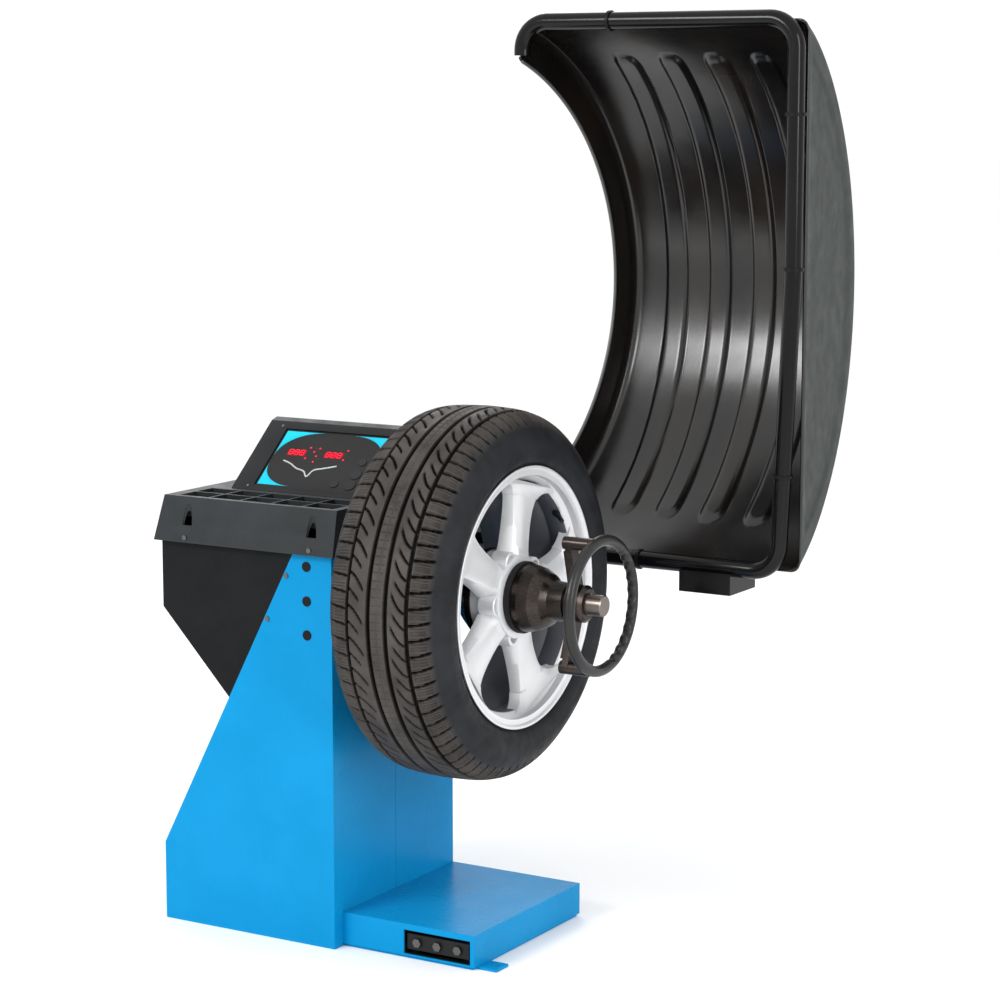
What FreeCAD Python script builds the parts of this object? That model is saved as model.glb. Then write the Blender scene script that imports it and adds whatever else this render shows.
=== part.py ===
import FreeCAD
import Part
import math
import os

# Wheel balancer. Millimetres, +Z up, +X along the shaft towards the operator's right,
# the operator stands at -Y. The origin is on the floor, straight below the shaft axis,
# in the plane of the cabinet's right-hand side.
V = FreeCAD.Vector
X_DIR = V(1, 0, 0)
Y_DIR = V(0, 1, 0)
Z_DIR = V(0, 0, 1)

# ---- driving dimensions -------------------------------------------------------------
SHEET = 2.0                  # steel sheet of the cabinet
RUN = 0.05                   # radial clearance of a running fit
GAP = 0.3                    # clearance between pieces that move apart

FRONT_Y = -205.0             # outer face of the front panel
PANEL_DEPTH = 26.0           # the front panel is a shallow folded box
BODY_Y = FRONT_Y + PANEL_DEPTH
BACK_Y = 196.0               # back of the base and of the cabinet
CAB_LEFT = -378.0            # left edge of the cabinet at the floor
CAB_TOP = 710.0
CAB_TOP_LEFT = -83.0         # where the slanted side meets the top
SLANT_Z = 145.0              # where the slanted side starts

BASE_RIGHT = 276.0
BASE_H = 63.0
PLATE_T = 5.0
RECESS = (130.0, 268.0, 8.0, 52.0, 60.0)      # x0, x1, z0, z1, depth of the front pocket
ANCHOR_R = 7.0
FRONT_ANCHOR = (300.0, -146.0)
REAR_ANCHOR_Y = 215.0
REAR_ANCHORS_X = (-300.0, 230.0)

CASING_TOP = 725.0
CASING_LOW = (-228.0, 434.5)
CASING_LEFT_Z = 588.0
CASING_WALL = 3.0
TRAY_Z = 713.0               # lower edge of the tray's skirt
TRAY_TOP = 795.0
TRAY_RIGHT = 13.0
TRAY_BACK = 194.5
TRAY_LEFT = -380.0

AXIS_Z = 634.0               # height of the shaft
SHAFT_R = 20.0
SHAFT_END = 434.0
NOSE_START = 404.0           # the free end of the shaft is a little slimmer
NOSE_R = 19.0
WHEEL_X = 167.0              # middle plane of the mounted wheel
TYRE_R = 333.5
TYRE_HALF = 119.0
RIM_R = 234.0
RIM_HALF = 112.0
SEAT_R = 217.0               # the tyre's beads sit here
FLANGE_FACE = 207.0          # the wheel's hub seats here
HUB_FACE = 264.0             # outer face of the wheel's hub pad
RING_X = 427.0
RING_R = 114.5               # centre radius of the handwheel's ring
RING_T = 10.0                # radius of the ring's section
ARM_ANGLES = (105.0, -111.0)
LUG_ANGLE = 8.0

HOOD_Y = 395.0               # plane of the hood's opening
HOOD_DEPTH = 360.0
HOOD_R = 525.0
HOOD_CY = HOOD_Y + HOOD_DEPTH - HOOD_R
HOOD_CZ = 1147.0
HOOD_LEFT = 27.0
HOOD_RIGHT = 622.0
HOOD_DRAFT = 56.0            # how far each side leans in over the depth
HOOD_T = 4.0
HOOD_LIP = 68.0              # width of the ring-shaped wall on the left
TUBE_R = 16.0
PIVOT_Y = 335.0
PIVOT_Z = 800.0
ARM_TUBE = (437.0, 643.0)    # y, z of the tube that carries the hood
PIN_R = 12.0


# ---- helpers -------------------------------------------------------------------------
def box(x0, x1, y0, y1, z0, z1):
    return Part.makeBox(x1 - x0, y1 - y0, z1 - z0, V(x0, y0, z0))


def rod_x(y, z, r, x0, x1):
    return Part.makeCylinder(r, x1 - x0, V(x0, y, z), X_DIR)


def rod_y(x, z, r, y0, y1):
    return Part.makeCylinder(r, y1 - y0, V(x, y0, z), Y_DIR)


def rod_z(x, y, r, z0, z1):
    return Part.makeCylinder(r, z1 - z0, V(x, y, z0), Z_DIR)


def ring_x(y, z, r_out, r_in, x0, x1):
    return rod_x(y, z, r_out, x0, x1).cut(rod_x(y, z, r_in, x0 - 1, x1 + 1))


def prism(points, axis, start, end):
    """Polygon extruded along X, Y or Z; points are (y, z), (x, z) or (x, y)."""
    place = {"x": lambda a, b: V(start, a, b),
             "y": lambda a, b: V(a, start, b),
             "z": lambda a, b: V(a, b, start)}[axis]
    way = {"x": X_DIR, "y": Y_DIR, "z": Z_DIR}[axis]
    corners = [place(a, b) for a, b in points]
    face = Part.Face(Part.makePolygon(corners + corners[:1]))
    return face.extrude(way * (end - start))


def turned(profile, y=0.0, z=AXIS_Z):
    """Closed outline of (x, radius) points turned about a line along X."""
    corners = [V(x, y, z + r) for x, r in profile]
    face = Part.Face(Part.makePolygon(corners + corners[:1]))
    return face.revolve(V(0, y, z), X_DIR, 360)


def slant_x(z):
    """X of the cabinet's slanted left side at height z."""
    return CAB_LEFT + (z - SLANT_Z) * (CAB_TOP_LEFT - CAB_LEFT) / (CAB_TOP - SLANT_Z)


def cabinet_outline(inset, z_low, z_top):
    """The cabinet's front outline, moved in by inset."""
    lean = math.hypot(1.0, (CAB_TOP_LEFT - CAB_LEFT) / (CAB_TOP - SLANT_Z))
    left = CAB_LEFT + inset
    shift = inset * lean
    knee = SLANT_Z + (left - CAB_LEFT - shift) * (CAB_TOP - SLANT_Z) / (CAB_TOP_LEFT - CAB_LEFT)
    return [(left, z_low), (-inset, z_low), (-inset, z_top),
            (slant_x(z_top) + shift, z_top), (left, knee)]


def pipe(points, radius, bend):
    """A tube bar through the points, with a round bend at each inner point."""
    edges = []
    start = points[0]
    for before, corner, after in zip(points, points[1:], points[2:]):
        back = (before - corner).normalize()
        ahead = (after - corner).normalize()
        half = back.getAngle(ahead) / 2
        reach = bend / math.tan(half)
        enter = corner + back * reach
        leave = corner + ahead * reach
        middle = corner + (back + ahead).normalize() * (bend / math.sin(half) - bend)
        edges.append(Part.makeLine(start, enter))
        edges.append(Part.Arc(enter, middle, leave).toShape())
        start = leave
    edges.append(Part.makeLine(start, points[-1]))
    way = (points[1] - points[0]).normalize()
    section = Part.Wire(Part.makeCircle(radius, points[0], way))
    return Part.Wire(edges).makePipeShell([section], True, True)


def joined(first, *others):
    return first.multiFuse(list(others)).removeSplitter()


def save(name, *solids):
    shape = solids[0] if len(solids) == 1 else Part.makeCompound(list(solids))
    shape.exportStep("parts/%s.step" % name)


# ---- base ----------------------------------------------------------------------------
def base():
    tabs = [box(BASE_RIGHT - 6, FRONT_ANCHOR[0] + 14, FRONT_ANCHOR[1] - 20, FRONT_ANCHOR[1] + 20, 0, PLATE_T)]
    holes = [rod_z(FRONT_ANCHOR[0], FRONT_ANCHOR[1], ANCHOR_R, -1, PLATE_T + 1)]
    for x in REAR_ANCHORS_X:
        tabs.append(box(x - 20, x + 20, BACK_Y - 6, REAR_ANCHOR_Y + 15, 0, PLATE_T))
        holes.append(rod_z(x, REAR_ANCHOR_Y, ANCHOR_R, -1, PLATE_T + 1))
    plate = box(CAB_LEFT + 6, BASE_RIGHT - 4, BODY_Y + 4, BACK_Y - 4, 0, PLATE_T)
    plate = joined(plate, *tabs)
    for hole in holes:
        plate = plate.cut(hole)
    save("base_plate", plate)

    x0, x1, z0, z1, depth = RECESS
    cover = box(CAB_LEFT + 2, BASE_RIGHT, BODY_Y, BACK_Y, PLATE_T, BASE_H)
    cover = cover.cut(box(CAB_LEFT + 5, BASE_RIGHT - 3, BODY_Y + 3, BACK_Y - 3, 0, BASE_H - 3))
    cover = cover.cut(box(x0, x1, BODY_Y - 1, BODY_Y + 4, z0, z1))
    save("base_cover", cover)

    pocket = box(x0 - 2, x1 + 1.5, BODY_Y + 3, BODY_Y + 3 + depth, z0 - 2, z1 + 2)
    pocket = pocket.cut(box(x0, x1 - 0.5, BODY_Y + 2, BODY_Y + depth, z0, z1))
    bar = box(x0 + 4, x1 - 6, BODY_Y + 6, BODY_Y + 18, z0 + 8, z1 - 8)
    bar_holes = [rod_y(x0 + 26 + 42 * n, (z0 + z1) / 2, 5.0, BODY_Y, BODY_Y + 20) for n in range(3)]
    for hole in bar_holes:
        bar = bar.cut(hole)
    rests = [box(x, x + 14, BODY_Y + 18, BODY_Y + depth, z0, z1 - 8) for x in (x0 + 5, x1 - 22)]
    save("lift_pocket", joined(pocket, bar, *rests))
    bolts = []
    for n in range(3):
        x = x0 + 26 + 42 * n
        shank = rod_y(x, (z0 + z1) / 2, 4.9, BODY_Y + 6, BODY_Y + 26)
        head = hexagon_y(x, (z0 + z1) / 2, 8.5, BODY_Y + 0.5, BODY_Y + 6)
        bolts.append(joined(shank, head))
    save("lift_bolts", *bolts)


def hexagon_y(x, z, r, y0, y1):
    corners = [(x + r * math.cos(math.radians(60 * n)), z + r * math.sin(math.radians(60 * n)))
               for n in range(6)]
    return prism(corners, "y", y0, y1)


# ---- cabinet ---------------------------------------------------------------------------
PLUGS_X = -53.0
PLUGS_Z = (690.0, 628.0, 567.0)
EDGE_SCREWS = ((-97.0, 670.0), (-139.0, 588.0))
TRAY_SCREWS = ((-311.0, 722.0), (-38.0, 722.0))
SIDE_HOLE_R = 62.0
SEAM_Y = -3.0
INLET = (-70.0, 150.0)       # x, z on the rear cover
SWITCH = (-130.0, 150.0)


def screw(x, z, face_y):
    """A pan-head screw driven into a face that looks towards -Y."""
    return joined(rod_y(x, z, 2.4, face_y, face_y + 12), rod_y(x, z, 4.6, face_y - 2, face_y))


def cabinet():
    outer = prism(cabinet_outline(0, 0, CAB_TOP), "y", FRONT_Y, BODY_Y)
    hollow = prism(cabinet_outline(SHEET, SHEET, CAB_TOP - SHEET), "y", FRONT_Y + SHEET, BODY_Y + 1)
    panel = outer.cut(hollow)
    for z in PLUGS_Z:
        panel = panel.cut(rod_y(PLUGS_X, z, 8.0, FRONT_Y - 1, FRONT_Y + SHEET + 1))
    for x, z in EDGE_SCREWS:
        panel = panel.cut(rod_y(x, z, 2.5, FRONT_Y - 1, FRONT_Y + SHEET + 1))
    save("front_panel", panel)
    plugs = [joined(rod_y(PLUGS_X, z, 8.0, FRONT_Y, FRONT_Y + 6), rod_y(PLUGS_X, z, 9.0, FRONT_Y - 1.2, FRONT_Y))
             for z in PLUGS_Z]
    save("panel_plugs", *plugs)
    screws = [screw(x, z, FRONT_Y) for x, z in EDGE_SCREWS]
    screws += [screw(x, z, SCREW_SEAT) for x, z in TRAY_SCREWS]
    save("case_screws", *screws)

    low = BASE_H
    outer = prism(cabinet_outline(1.5, low, CAB_TOP), "y", BODY_Y, BACK_Y - SHEET)
    hollow = prism(cabinet_outline(1.5 + SHEET, low - 1, CAB_TOP + 1), "y", BODY_Y - 1, BACK_Y)
    shell = outer.cut(hollow)
    shell = shell.cut(box(CAB_LEFT, -40, BODY_Y - 1, BACK_Y, CASING_LOW[1], CAB_TOP + 1))
    shell = shell.cut(box(-SHEET - 2, 1, SEAM_Y, BACK_Y, low - 1, CAB_TOP + 1))
    bore = rod_x(0, AXIS_Z, SIDE_HOLE_R, -20, 5)
    gauge_hole = rod_x(GAUGE_Y, GAUGE_Z, 16.0, -20, 5)
    save("cabinet_shell", shell.cut(bore).cut(gauge_hole))
    side = box(-1.5 - SHEET, -1.5, SEAM_Y + 1, BACK_Y - SHEET, low, CAB_TOP)
    save("side_panel", side.cut(bore))

    rear = prism(cabinet_outline(1.5, low, CAB_TOP), "y", BACK_Y - SHEET, BACK_Y)
    rear = rear.cut(box(INLET[0] - 14, INLET[0] + 14, BACK_Y - 5, BACK_Y + 1, INLET[1] - 12, INLET[1] + 12))
    rear = rear.cut(box(SWITCH[0] - 15, SWITCH[0] + 15, BACK_Y - 5, BACK_Y + 1, SWITCH[1] - 11, SWITCH[1] + 11))
    for row in range(6):
        z = 250 + 14 * row
        rear = rear.cut(box(-160, -60, BACK_Y - 5, BACK_Y + 1, z, z + 4))
    save("rear_cover", rear)


def tray_casing():
    """Open-topped casing under the left half of the tray; its right side follows the slanted panel."""
    left = TRAY_LEFT + 6
    right = slant_x(CAB_TOP) - 1
    knee_x, knee_z = CASING_LOW
    front = FRONT_Y + 2
    back = BACK_Y - 6
    outer = prism([(left, CASING_TOP), (left, CASING_LEFT_Z), (knee_x, knee_z), (right, CAB_TOP),
                   (right, CASING_TOP)], "y", front, back)
    over = CASING_TOP + 5
    hollow = prism([(left + CASING_WALL, over), (left + CASING_WALL, CASING_LEFT_Z + 1.3),
                    (knee_x + 1.5, knee_z + 4), (knee_x + 40, knee_z + 4), (right + 55, over)],
                   "y", front + CASING_WALL, back - CASING_WALL)
    save("tray_casing", outer.cut(hollow))


# ---- tray and display --------------------------------------------------------------------
POCKETS_X = 5
POCKETS_Y = 2
POCKET_PITCH = (68.0, 50.0)
POCKET_START = (-342.0, -196.0)
POCKET_DEPTH = 34.0
TRAY_RECESS_X = (-308.0, -36.0)
TRAY_LEAN = 15.0             # the tray's left and front sides lean in by this much
TRAY_WALL = 3.0
SCREW_SEAT = FRONT_Y - 13.2


def tapered_block(x0, x1, y0, y1, z0, z1, lean_left, lean_front):
    """A block whose left and front sides lean in towards the top."""
    low = [V(x0, y0, z0), V(x1, y0, z0), V(x1, y1, z0), V(x0, y1, z0)]
    top = [V(x0 + lean_left, y0 + lean_front, z1), V(x1, y0 + lean_front, z1), V(x1, y1, z1),
           V(x0 + lean_left, y1, z1)]
    wires = [Part.makePolygon(corners + corners[:1]) for corners in (low, top)]
    return Part.makeLoft(wires, True, True)


def tray():
    lean = TRAY_LEAN
    outer = tapered_block(TRAY_LEFT, TRAY_RIGHT, FRONT_Y - lean, TRAY_BACK, TRAY_Z, TRAY_TOP, lean, lean)
    hollow = tapered_block(TRAY_LEFT + TRAY_WALL, TRAY_RIGHT - TRAY_WALL, FRONT_Y - lean + TRAY_WALL,
                           TRAY_BACK - TRAY_WALL, TRAY_Z - 1, TRAY_TOP - 4, lean, lean)
    body = outer.cut(hollow)
    pitch_x, pitch_y = POCKET_PITCH
    x0, y0 = POCKET_START
    x1 = x0 + POCKETS_X * pitch_x
    y1 = y0 + POCKETS_Y * pitch_y
    well = box(x0 - 1, x1 + 3, y0 - 1, y1 + 3, TRAY_TOP - POCKET_DEPTH - 3, TRAY_TOP - 2)
    body = joined(body, well)
    for i in range(POCKETS_X):
        for j in range(POCKETS_Y):
            x = x0 + i * pitch_x
            y = y0 + j * pitch_y
            body = body.cut(box(x + 3, x + pitch_x - 1, y + 3, y + pitch_y - 1,
                                TRAY_TOP - POCKET_DEPTH, TRAY_TOP + 1))
    for x in TRAY_RECESS_X:
        body = body.cut(rod_z(x, FRONT_Y - 12, 11.0, 744, 782))
    for x, z in TRAY_SCREWS:
        body = body.cut(rod_y(x, z, 2.5, FRONT_Y - 20, FRONT_Y))
        body = body.cut(rod_y(x, z, 5.0, FRONT_Y - 20, SCREW_SEAT))
    save("weight_tray", body)


# The display's face is a sloping plane: FACE_START is its lower edge and FACE_UP its way up.
FACE_START = (-80.0, TRAY_TOP + 0.5)
FACE_END = (50.0, 908.0)
HOUSING_X = (-308.0, 4.0)
MEMBRANE_X = (-264.0, -30.0)
FACE_LEN = math.hypot(FACE_END[0] - FACE_START[0], FACE_END[1] - FACE_START[1])
FACE_UP = V(0, FACE_END[0] - FACE_START[0], FACE_END[1] - FACE_START[1]) / FACE_LEN
FACE_OUT = V(0, -FACE_UP.z, FACE_UP.y)
KEY_TRAVEL = 1.2
KEYS = {"start_key": (-62.0, 58.0, 11.0), "stop_key": (-62.0, 32.0, 11.0), "mode_key": (-96.0, 32.0, 8.0),
        "function_key": (-62.0, 88.0, 8.0)}
DIGITS = ((-214.0, 100.0), (-132.0, 100.0))
LED_SPOTS = ((-222.0, 78.0), (-208.0, 72.0), (-152.0, 60.0), (-134.0, 68.0), (-118.0, 72.0),
             (-176.0, 112.0), (-186.0, 88.0), (-166.0, 112.0), (-160.0, 88.0))


def on_face(x0, x1, up0, up1, out0, out1):
    """A block set on the display's sloping face."""
    origin = V(x0, FACE_START[0], FACE_START[1]) + FACE_UP * up0 + FACE_OUT * out0
    corners = [origin, origin + X_DIR * (x1 - x0)]
    corners += [corners[1] + FACE_UP * (up1 - up0), origin + FACE_UP * (up1 - up0)]
    face = Part.Face(Part.makePolygon(corners + corners[:1]))
    return face.extrude(FACE_OUT * (out1 - out0))


def button_on_face(x, up, radius, out0, out1):
    start = V(x, FACE_START[0], FACE_START[1]) + FACE_UP * up + FACE_OUT * out0
    return Part.makeCylinder(radius, out1 - out0, start, FACE_OUT)


def display():
    x0, x1 = HOUSING_X
    outline = [FACE_START, FACE_END, (66, 913), (92, 908), (112, TRAY_TOP + 0.5)]
    housing = prism(outline, "x", x0, x1)
    inner = [(-66, TRAY_TOP - 1), (-64, 805), (55, 903), (66, 909), (88, 905), (108, TRAY_TOP - 1)]
    housing = housing.cut(prism(inner, "x", x0 + 3.5, x1 - 3.5))
    m0, m1 = MEMBRANE_X
    frame_in = on_face(m0 - 5, m1 + 5, 9, FACE_LEN - 13, -9, -4)
    housing = joined(housing, frame_in.common(prism(outline, "x", x0, x1)))
    housing = housing.cut(on_face(m0 - 0.3, m1 + 0.3, 13.7, FACE_LEN - 17.7, -4, 5))
    housing = housing.cut(on_face(m0 + 6, m1 - 6, 20, FACE_LEN - 24, -12, 5))
    save("display_housing", housing)
    membrane = on_face(m0, m1, 14, FACE_LEN - 18, -4, -2.5)
    for x, up, radius in KEYS.values():
        membrane = membrane.cut(button_on_face(x, up, radius + 0.4, -8, 5))
    for x, up in DIGITS:
        membrane = membrane.cut(on_face(x - 21, x + 21, up - 8, up + 8, -8, 5))
    for x, up in LED_SPOTS:
        membrane = membrane.cut(button_on_face(x, up, 1.6, -8, 5))
    save("display_membrane", membrane)
    modules = [on_face(x - 20.8, x + 20.8, up - 7.8, up + 7.8, -9, -2.7) for x, up in DIGITS]
    lamps = [button_on_face(x, up, 1.5, -9, -2.3) for x, up in LED_SPOTS]
    save("led_modules", *modules, *lamps)
    board = on_face(m0 + 8, m1 - 8, 22, FACE_LEN - 26, -10.6, -9)
    for x, up, radius in KEYS.values():
        board = board.cut(button_on_face(x, up, 3.4, -20, 0))
    save("display_board", board)
    for name, (x, up, radius) in KEYS.items():
        cap = button_on_face(x, up, radius, -4.2, -1.2)
        stem = button_on_face(x, up, 3.0, -12.0, -4.0)
        save(name, joined(cap, stem))


# ---- spindle, drive and electronics inside the cabinet -------------------------------------
HOUSING_R = 45.0
HOUSING_SPAN = (-215.0, 20.0)
PULLEY_X = (-254.0, -234.0)
SHAFT_PULLEY_R = 55.0
MOTOR_PULLEY_R = 22.0
MOTOR_Y = 118.0
MOTOR_Z = 515.0
GAUGE_Y = -105.0
GAUGE_Z = 690.0
GAUGE_R = 7.0
COLUMN = (-196.0, -56.0, -62.0, 55.0, BASE_H, 540.0)


def drive():
    x0, x1 = HOUSING_SPAN
    bearing_w = 20.0
    seat_r = 36.0
    housing = ring_x(0, AXIS_Z, HOUSING_R, SHAFT_R + 3, x0, x1)
    housing = housing.cut(rod_x(0, AXIS_Z, seat_r, x0 - 1, x0 + bearing_w))
    housing = housing.cut(rod_x(0, AXIS_Z, seat_r, x1 - bearing_w, x1 + 1))
    foot = box(-180, -70, -52, 40, 574, 590)
    web = box(-180, -70, -20, 20, 588, 600)
    housing = joined(housing, foot, web)
    save("spindle_housing", housing)
    for name, start in (("rear_bearing", x0), ("front_bearing", x1 - bearing_w)):
        save(name, ring_x(0, AXIS_Z, seat_r, SHAFT_R + RUN, start, start + bearing_w))

    cx0, cx1, cy0, cy1, cz0, cz1 = COLUMN
    column = box(cx0, cx1, cy0, cy1, cz0, cz1).cut(box(cx0 + 5, cx1 - 5, cy0 + 5, cy1 - 5, cz0 - 1, cz1 - 6))
    column = joined(column, box(cx0 - 25, cx1 + 25, cy0 - 25, cy1 + 25, cz0, cz0 + 8))
    column = column.cut(box(cx0 + 5, cx1 - 5, cy0 + 5, cy1 - 5, cz0 - 1, cz0 + 9))
    post = box(-170, -80, -62, -54, cz1, 640)
    motor_shelf = box(-190, -100, 55, 165, MOTOR_Z - 58, MOTOR_Z - 50)
    save("chassis_column", joined(column, post, motor_shelf))
    save("suspension_springs", box(-178, -172, -50, 38, cz1, 574), box(-78, -72, -50, 38, cz1, 574))
    save("force_sensors", *[rod_y(x, AXIS_Z - 52, 7.9, -54, -52) for x in (-155, -95)])

    shaft = turned([(-266, 0), (-266, 15), (-256, 15), (-256, SHAFT_R), (NOSE_START, SHAFT_R),
                    (NOSE_START, NOSE_R), (SHAFT_END - 2, NOSE_R), (SHAFT_END, NOSE_R - 2), (SHAFT_END, 0)])
    save("shaft", shaft)
    flange = turned([(60, SHAFT_R), (60, 34), (150, 34), (170, 60), (196, 82), (FLANGE_FACE, 82),
                     (FLANGE_FACE, 70), (200, 66), (200, SHAFT_R)])
    save("backing_flange", flange)
    cone = turned([(203, SHAFT_R), (203, 38), (222, 33), (238, 27), (238, SHAFT_R)])
    save("centring_cone", cone)
    save("shaft_pulley", ring_x(0, AXIS_Z, SHAFT_PULLEY_R, SHAFT_R, *PULLEY_X))
    save("encoder_disc", ring_x(0, AXIS_Z, 38, 15, -262, -260))
    sensor = box(-270, -256.5, -8, 8, AXIS_Z - 62, AXIS_Z - 28)
    sensor = sensor.cut(box(-265, -257.5, -9, 9, AXIS_Z - 46, AXIS_Z - 27))
    sensor = sensor.cut(rod_x(0, AXIS_Z, 56, -258, -250))
    save("encoder_sensor", sensor)

    save("belt", belt())
    motor = rod_x(MOTOR_Y, MOTOR_Z, 44, -215, -90)
    motor = joined(motor, box(-200, -110, MOTOR_Y - 50, MOTOR_Y + 40, MOTOR_Z - 50, MOTOR_Z - 38))
    motor = motor.cut(rod_x(MOTOR_Y, MOTOR_Z, 7 + RUN, -220, -120))
    save("motor", motor)
    save("motor_shaft", rod_x(MOTOR_Y, MOTOR_Z, 7, -256, -121))
    save("motor_pulley", ring_x(MOTOR_Y, MOTOR_Z, MOTOR_PULLEY_R, 7, *PULLEY_X))

    legs = [rod_y(x, z, 3, 153, BACK_Y - SHEET) for x in (-290, -220) for z in (118, 212)]
    save("power_board", joined(box(-300, -210, 150, 153, 110, 220), *legs))
    core = box(-300, -230, 20, 90, BASE_H, 130)
    coil = box(-292, -238, 8, 20, 72, 122)
    save("transformer", joined(core, coil))


def belt():
    """Flat belt around both pulleys: tangent runs outside two wraps."""
    dy = MOTOR_Y
    dz = MOTOR_Z - AXIS_Z
    span = math.hypot(dy, dz)
    along = math.atan2(dz, dy)
    spread = math.acos((SHAFT_PULLEY_R - MOTOR_PULLEY_R) / span)
    x0, x1 = PULLEY_X[0] + 3, PULLEY_X[1] - 3

    def loop(grow):
        big, small = SHAFT_PULLEY_R + grow, MOTOR_PULLEY_R + grow
        sides = []
        for side in (1, -1):
            a = along + side * spread
            sides.append((V(x0, big * math.cos(a), AXIS_Z + big * math.sin(a)),
                          V(x0, MOTOR_Y + small * math.cos(a), MOTOR_Z + small * math.sin(a))))
        (top_big, top_small), (low_big, low_small) = sides
        far_big = V(x0, -big * math.cos(along), AXIS_Z - big * math.sin(along))
        far_small = V(x0, MOTOR_Y + small * math.cos(along), MOTOR_Z + small * math.sin(along))
        edges = [Part.makeLine(top_big, top_small), Part.Arc(top_small, far_small, low_small).toShape(),
                 Part.makeLine(low_small, low_big), Part.Arc(low_big, far_big, top_big).toShape()]
        return Part.Face(Part.Wire(edges)).extrude(X_DIR * (x1 - x0))

    return loop(3.0 + GAP).cut(loop(GAP))


def gauge():
    bracket = box(-60, -44, -125, -85, 640, GAUGE_Z)
    bracket = bracket.cut(rod_x(GAUGE_Y, GAUGE_Z, GAUGE_R + RUN, -70, 0))
    save("gauge_bush", joined(ring_x(GAUGE_Y, GAUGE_Z, 16.0, GAUGE_R + RUN, -60, 3), bracket))
    rod = rod_x(GAUGE_Y, GAUGE_Z, GAUGE_R, -175, 30)
    save("gauge_rod", joined(rod, rod_x(GAUGE_Y, GAUGE_Z, 10, 28 + GAP, 34)))
    hub = ring_x(GAUGE_Y, GAUGE_Z, 14, GAUGE_R + RUN, 12, 28)
    arm = box(14, 24, GAUGE_Y - 7, GAUGE_Y + 7, GAUGE_Z - 68, GAUGE_Z)
    arm = arm.cut(rod_x(GAUGE_Y, GAUGE_Z, 13, 0, 40))
    finger = rod_x(GAUGE_Y, GAUGE_Z - 66, 8, 12, 32)
    save("gauge_arm", joined(hub, arm, finger))


def electrics():
    x, z = INLET
    inlet = box(x - 13.5, x + 13.5, BACK_Y - 24, BACK_Y, z - 11.5, z + 11.5)
    inlet = joined(inlet, box(x - 24, x + 24, BACK_Y, BACK_Y + 3, z - 15, z + 15))
    inlet = inlet.cut(box(x - 11, x + 11, BACK_Y - 18, BACK_Y + 4, z - 8, z + 8))
    pins = [box(x + dx - 1, x + dx + 1, BACK_Y - 19, BACK_Y - 3, z + dz - 2.5, z + dz + 2.5)
            for dx, dz in ((-7, -2), (0, 2), (7, -2))]
    save("power_inlet", joined(inlet, *pins))
    x, z = SWITCH
    frame = box(x - 15, x + 15, BACK_Y - 20, BACK_Y, z - 11, z + 11)
    frame = joined(frame, box(x - 18, x + 18, BACK_Y, BACK_Y + 2.5, z - 14, z + 14))
    frame = frame.cut(box(x - 12, x + 12, BACK_Y - 12, BACK_Y + 4, z - 8.5, z + 8.5))
    pivot_y = BACK_Y - 4
    frame = frame.cut(rod_z(x, pivot_y, 1.5 + RUN, z - 10.2, z + 10.2))
    save("switch_frame", frame)
    outline = [(x - 11, BACK_Y - 2.2), (x - 10.2, BACK_Y + 1.2), (x, BACK_Y - 0.2), (x + 9.6, BACK_Y + 4.4),
               (x + 11, BACK_Y - 1.0), (x, BACK_Y - 9)]
    rocker = prism(outline, "z", z - 8.2, z + 8.2)
    save("switch_rocker", joined(rocker, rod_z(x, pivot_y, 1.5, z - 10, z + 10)))


# ---- wheel ------------------------------------------------------------------------------
SPOKES = 5
WINDOW_ANGLE = 40.0          # the middle of one window, from +Y towards +Z
LUG_PITCH_R = 57.0
VALVE_ANGLE = 38.0


def wheel():
    c = WHEEL_X
    seat = RIM_HALF - 6
    side = [(c - seat + 9, SEAT_R), (c - seat, SEAT_R), (c - seat, 235.5), (c - seat - 8, 243),
            (c - TYRE_HALF, 262), (c - TYRE_HALF, 276), (c - 112, 288), (c - 101, 304), (c - 90, 318),
            (c - 76, 326), (c - 50, 331.5), (c, TYRE_R)]
    lining = [(c, 320), (c - 74, 314), (c - 92, 300), (c - 107, 274), (c - seat + 5, 240)]
    profile = side + mirrored(side[:-1], c) + list(reversed(mirrored(lining, c))) + lining[1:]
    save("tyre", turned(profile))

    f = RIM_HALF
    inner = RIM_R - 24
    half = [(c - f, RIM_R), (c - f + 5.5, RIM_R), (c - f + 5.5, SEAT_R - GAP), (c - 66, SEAT_R - GAP),
            (c - 50, RIM_R - 42)]
    outside = half + [(c + 10, RIM_R - 44), (c + 45, SEAT_R - GAP), (c + f - 5.5, SEAT_R - GAP),
                      (c + f - 5.5, RIM_R), (c + f, RIM_R)]
    inside = [(c + f, RIM_R - 6), (c + f - 6, inner), (c + 45, inner - 2), (c + 12, RIM_R - 51),
              (c - 54, RIM_R - 49), (c - 70, inner - 1), (c - f + 6, inner), (c - f, RIM_R - 6)]
    barrel = turned(outside + inside)
    spider = turned([(FLANGE_FACE + GAP, 38.5), (FLANGE_FACE + GAP, 80), (218, 100), (223, 200), (226, RIM_R - 24),
                     (264, RIM_R - 24), (254, 196), (250, 180), (254, 120), (HUB_FACE, 74), (HUB_FACE, 38.5)])
    for n in range(SPOKES):
        spin = WINDOW_ANGLE + 360 / SPOKES * n
        spider = spider.cut(window([(94, 13), (192, 23), (192, -23), (94, -13)], spin))
        a = math.radians(spin)
        y, z = LUG_PITCH_R * math.cos(a), AXIS_Z + LUG_PITCH_R * math.sin(a)
        spider = spider.cut(rod_x(y, z, 7.5, 200, 280)).cut(rod_x(y, z, 12.5, 240, 280))
    save("rim", joined(barrel, spider).cut(valve()))
    save("valve_stem", valve())


def mirrored(points, centre):
    """The same outline on the other side of the wheel's middle plane, in reverse order."""
    return [(2 * centre - x, r) for x, r in reversed(points)]


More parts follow.
